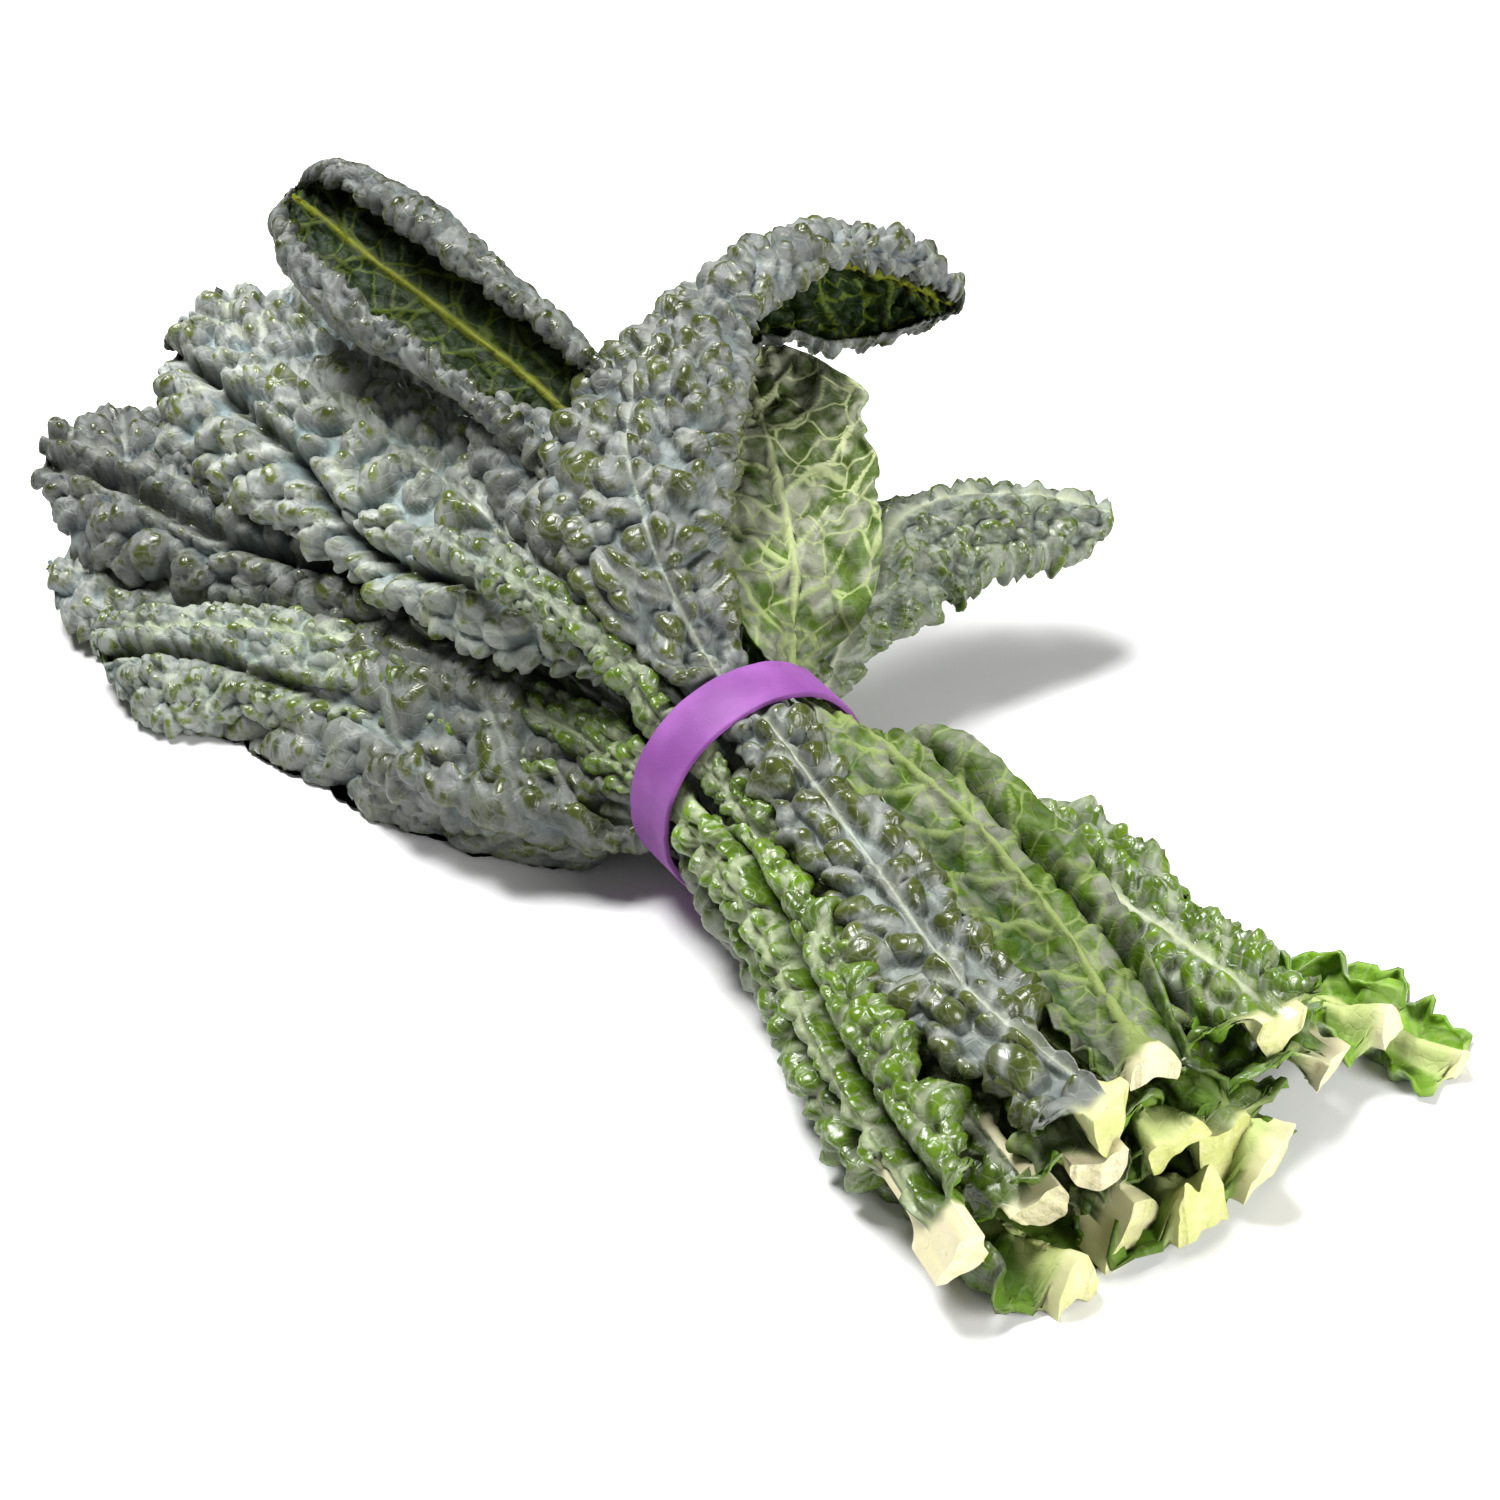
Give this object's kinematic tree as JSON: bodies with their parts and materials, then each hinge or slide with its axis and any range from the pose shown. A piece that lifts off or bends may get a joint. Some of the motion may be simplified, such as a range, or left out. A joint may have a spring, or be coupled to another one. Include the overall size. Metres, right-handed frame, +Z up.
{
  "type": "bunch of kale",
  "caption": "Tied bunch of long blistered kale leaves lying on its side, held at the middle by a flat rubber band, stems cut off at one end.",
  "frame": {"origin": "bottom centre of the whole bunch as it lies on a surface", "axes": "+X towards the cut stems, -X towards the leaf tips, +Z up from the surface it lies on"},
  "size_m": [0.3326, 0.1966, 0.1034],
  "materials": {
    "leaf_blue_green": "waxy blistered leaf, satin",
    "leaf_green": "blistered green leaf, satin",
    "leaf_pale": "waxy pale leaf, matt",
    "leaf_dark": "dark green underside, slight gloss",
    "band": "smooth coloured rubber, slight sheen"
  },
  "bodies": {
    "root": {"rubber_band": "band", "leaf_arched": "leaf_blue_green", "leaf_narrow": "leaf_green", "leaf_green_left": "leaf_green", "leaf_broad": "leaf_blue_green", "leaf_cupped": "leaf_blue_green", "leaf_pale": "leaf_pale", "leaf_drooping": "leaf_blue_green", "leaf_outer_left": "leaf_blue_green", "leaf_small_blue": "leaf_blue_green", "leaf_low_left": "leaf_blue_green", "leaf_back_turned": "leaf_dark", "leaf_back_left": "leaf_blue_green", "leaf_under_left": "leaf_dark", "leaf_flat_under": "leaf_dark", "leaf_low_front": "leaf_blue_green"}
  },
  "joints": []
}
